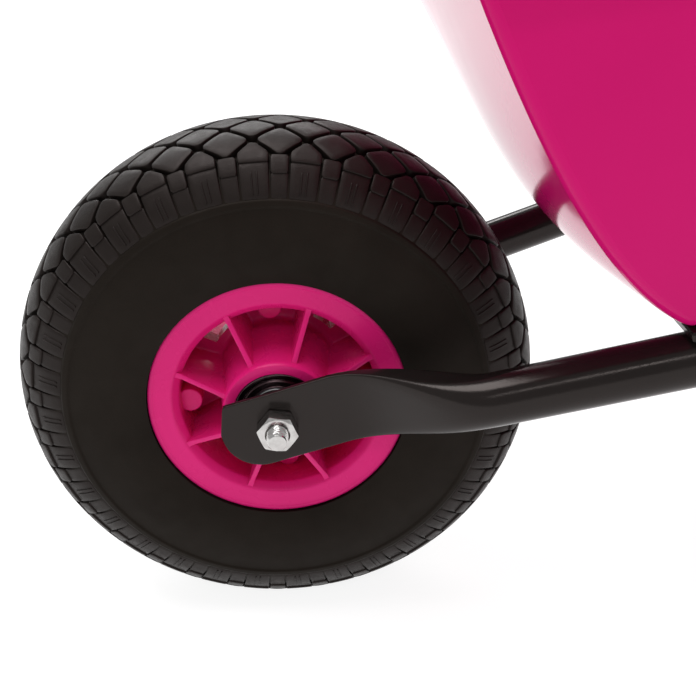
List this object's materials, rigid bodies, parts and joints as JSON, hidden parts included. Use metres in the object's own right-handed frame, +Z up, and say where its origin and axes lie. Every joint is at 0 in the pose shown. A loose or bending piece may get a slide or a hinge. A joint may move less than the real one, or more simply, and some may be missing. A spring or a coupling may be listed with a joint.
{
  "type": "wheelbarrow",
  "caption": "Small single-wheel wheelbarrow: splayed steel tube frame, deep moulded tray, pneumatic block-tread wheel on ball bearings, braced legs.",
  "frame": {"origin": "on the ground under the middle of the outline", "axes": "+X back along the barrow to the grips, +Y to its right side, +Z up"},
  "size_m": [0.9006, 0.3738, 0.4178],
  "materials": {
    "tyre": "moulded black rubber with a block tread",
    "inner_tube": "matt butyl rubber",
    "rim_plastic": "semi-gloss moulded pink plastic",
    "tray_plastic": "gloss moulded pink plastic",
    "black_steel": "gloss black powder coat",
    "grip_rubber": "matt black rubber",
    "zinc_fasteners": "bright zinc plate",
    "bearing_steel": "ground bearing steel",
    "cage_brass": "plain brass",
    "cap_plastic": "matt black plastic"
  },
  "bodies": {
    "frame": {"tray": "tray_plastic", "frame_tube_left": "black_steel", "frame_tube_right": "black_steel", "cross_rail_front": "black_steel", "cross_rail_rear": "black_steel", "leg_left": "black_steel", "leg_right": "black_steel", "brace_left": "black_steel", "brace_right": "black_steel", "leg_tie": "black_steel", "grip_left": "grip_rubber", "grip_right": "grip_rubber", "foot_left": "grip_rubber", "foot_right": "grip_rubber", "axle_bolt": "zinc_fasteners", "axle_nut": "zinc_fasteners", "axle_sleeve": "zinc_fasteners", "hub_spacer_left": "zinc_fasteners", "hub_spacer_right": "zinc_fasteners", "tray_bolt_1": "zinc_fasteners", "tray_bolt_2": "zinc_fasteners", "tray_bolt_3": "zinc_fasteners", "tray_bolt_4": "zinc_fasteners", "tray_nut_1": "zinc_fasteners", "tray_nut_2": "zinc_fasteners", "tray_nut_3": "zinc_fasteners", "tray_nut_4": "zinc_fasteners", "leg_bolt_left": "zinc_fasteners", "leg_bolt_right": "zinc_fasteners", "leg_nut_left": "zinc_fasteners", "leg_nut_right": "zinc_fasteners", "brace_bolt_left": "zinc_fasteners", "brace_bolt_right": "zinc_fasteners", "brace_nut_left": "zinc_fasteners", "brace_nut_right": "zinc_fasteners", "bearing_inner_left": "bearing_steel", "bearing_inner_right": "bearing_steel"},
    "wheel": {"tyre": "tyre", "inner_tube": "inner_tube", "valve_cap": "cap_plastic", "rim_half_left": "rim_plastic", "rim_half_right": "rim_plastic", "rim_screw_1": "zinc_fasteners", "rim_screw_2": "zinc_fasteners", "rim_screw_3": "zinc_fasteners", "rim_screw_4": "zinc_fasteners", "bearing_outer_left": "bearing_steel", "bearing_outer_right": "bearing_steel", "bearing_shield_left": "bearing_steel", "bearing_shield_right": "bearing_steel", "ball_cage_left": "cage_brass", "ball_cage_right": "cage_brass"}
  },
  "joints": [
    {"name": "wheel_spin", "type": "hinge", "parent": "frame", "child": "wheel", "pos_m": [-0.32051, 0, 0.13], "axis": [0, 1, 0], "continuous": true}
  ]
}
